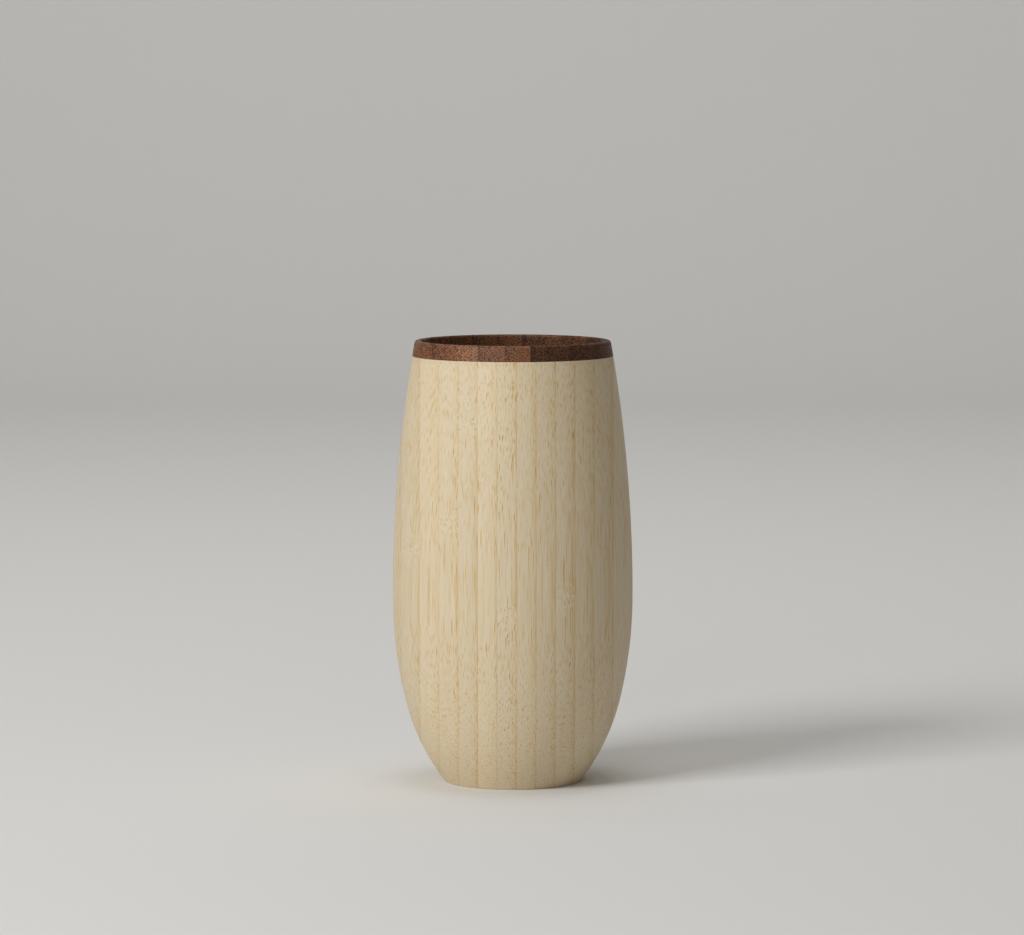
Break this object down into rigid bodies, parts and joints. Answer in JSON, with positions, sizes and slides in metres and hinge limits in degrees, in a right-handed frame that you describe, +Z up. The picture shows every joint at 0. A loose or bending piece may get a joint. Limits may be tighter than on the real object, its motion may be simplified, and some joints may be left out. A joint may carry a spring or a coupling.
{
  "type": "bamboo cup",
  "caption": "Handleless barrel-shaped tumbler turned from glued upright bamboo strips, with a thin rim ring of darker bamboo strips, for cold or warm drinks",
  "frame": {"origin": "centre of the foot ring, on the surface that the cup stands on", "axes": "+Z up along the cup's axis; +X to the right, across the strips; the view in the picture looks along +Y, so -Y is the front"},
  "size_m": [0.076, 0.076, 0.14],
  "materials": {
    "pale_bamboo": "natural bamboo under clear satin lacquer",
    "dark_bamboo": "heat-darkened bamboo under clear satin lacquer"
  },
  "bodies": {
    "root": {"body_strip_left_6_front": "pale_bamboo", "body_strip_left_6_back": "pale_bamboo", "body_strip_left_5_front": "pale_bamboo", "body_strip_left_5_back": "pale_bamboo", "body_strip_left_4_front": "pale_bamboo", "body_strip_left_4_back": "pale_bamboo", "body_strip_left_3_front": "pale_bamboo", "body_strip_left_3_back": "pale_bamboo", "body_strip_left_2_front": "pale_bamboo", "body_strip_left_2_floor": "pale_bamboo", "body_strip_left_2_back": "pale_bamboo", "body_strip_left_1_front": "pale_bamboo", "body_strip_left_1_floor": "pale_bamboo", "body_strip_left_1_back": "pale_bamboo", "body_strip_mid_front": "pale_bamboo", "body_strip_mid_floor": "pale_bamboo", "body_strip_mid_back": "pale_bamboo", "body_strip_right_1_front": "pale_bamboo", "body_strip_right_1_floor": "pale_bamboo", "body_strip_right_1_back": "pale_bamboo", "body_strip_right_2_front": "pale_bamboo", "body_strip_right_2_floor": "pale_bamboo", "body_strip_right_2_back": "pale_bamboo", "body_strip_right_3_front": "pale_bamboo", "body_strip_right_3_floor": "pale_bamboo", "body_strip_right_3_back": "pale_bamboo", "body_strip_right_4_front": "pale_bamboo", "body_strip_right_4_back": "pale_bamboo", "body_strip_right_5_front": "pale_bamboo", "body_strip_right_5_back": "pale_bamboo", "body_strip_right_6_front": "pale_bamboo", "body_strip_right_6_back": "pale_bamboo", "rim_strip_1_left": "dark_bamboo", "rim_strip_2_front": "dark_bamboo", "rim_strip_2_back": "dark_bamboo", "rim_strip_3_front": "dark_bamboo", "rim_strip_3_back": "dark_bamboo", "rim_strip_4_front": "dark_bamboo", "rim_strip_4_back": "dark_bamboo", "rim_strip_5_front": "dark_bamboo", "rim_strip_5_back": "dark_bamboo", "rim_strip_6_front": "dark_bamboo", "rim_strip_6_back": "dark_bamboo", "rim_strip_7_front": "dark_bamboo", "rim_strip_7_back": "dark_bamboo", "rim_strip_8_front": "dark_bamboo", "rim_strip_8_back": "dark_bamboo", "rim_strip_9_right": "dark_bamboo"}
  },
  "joints": []
}
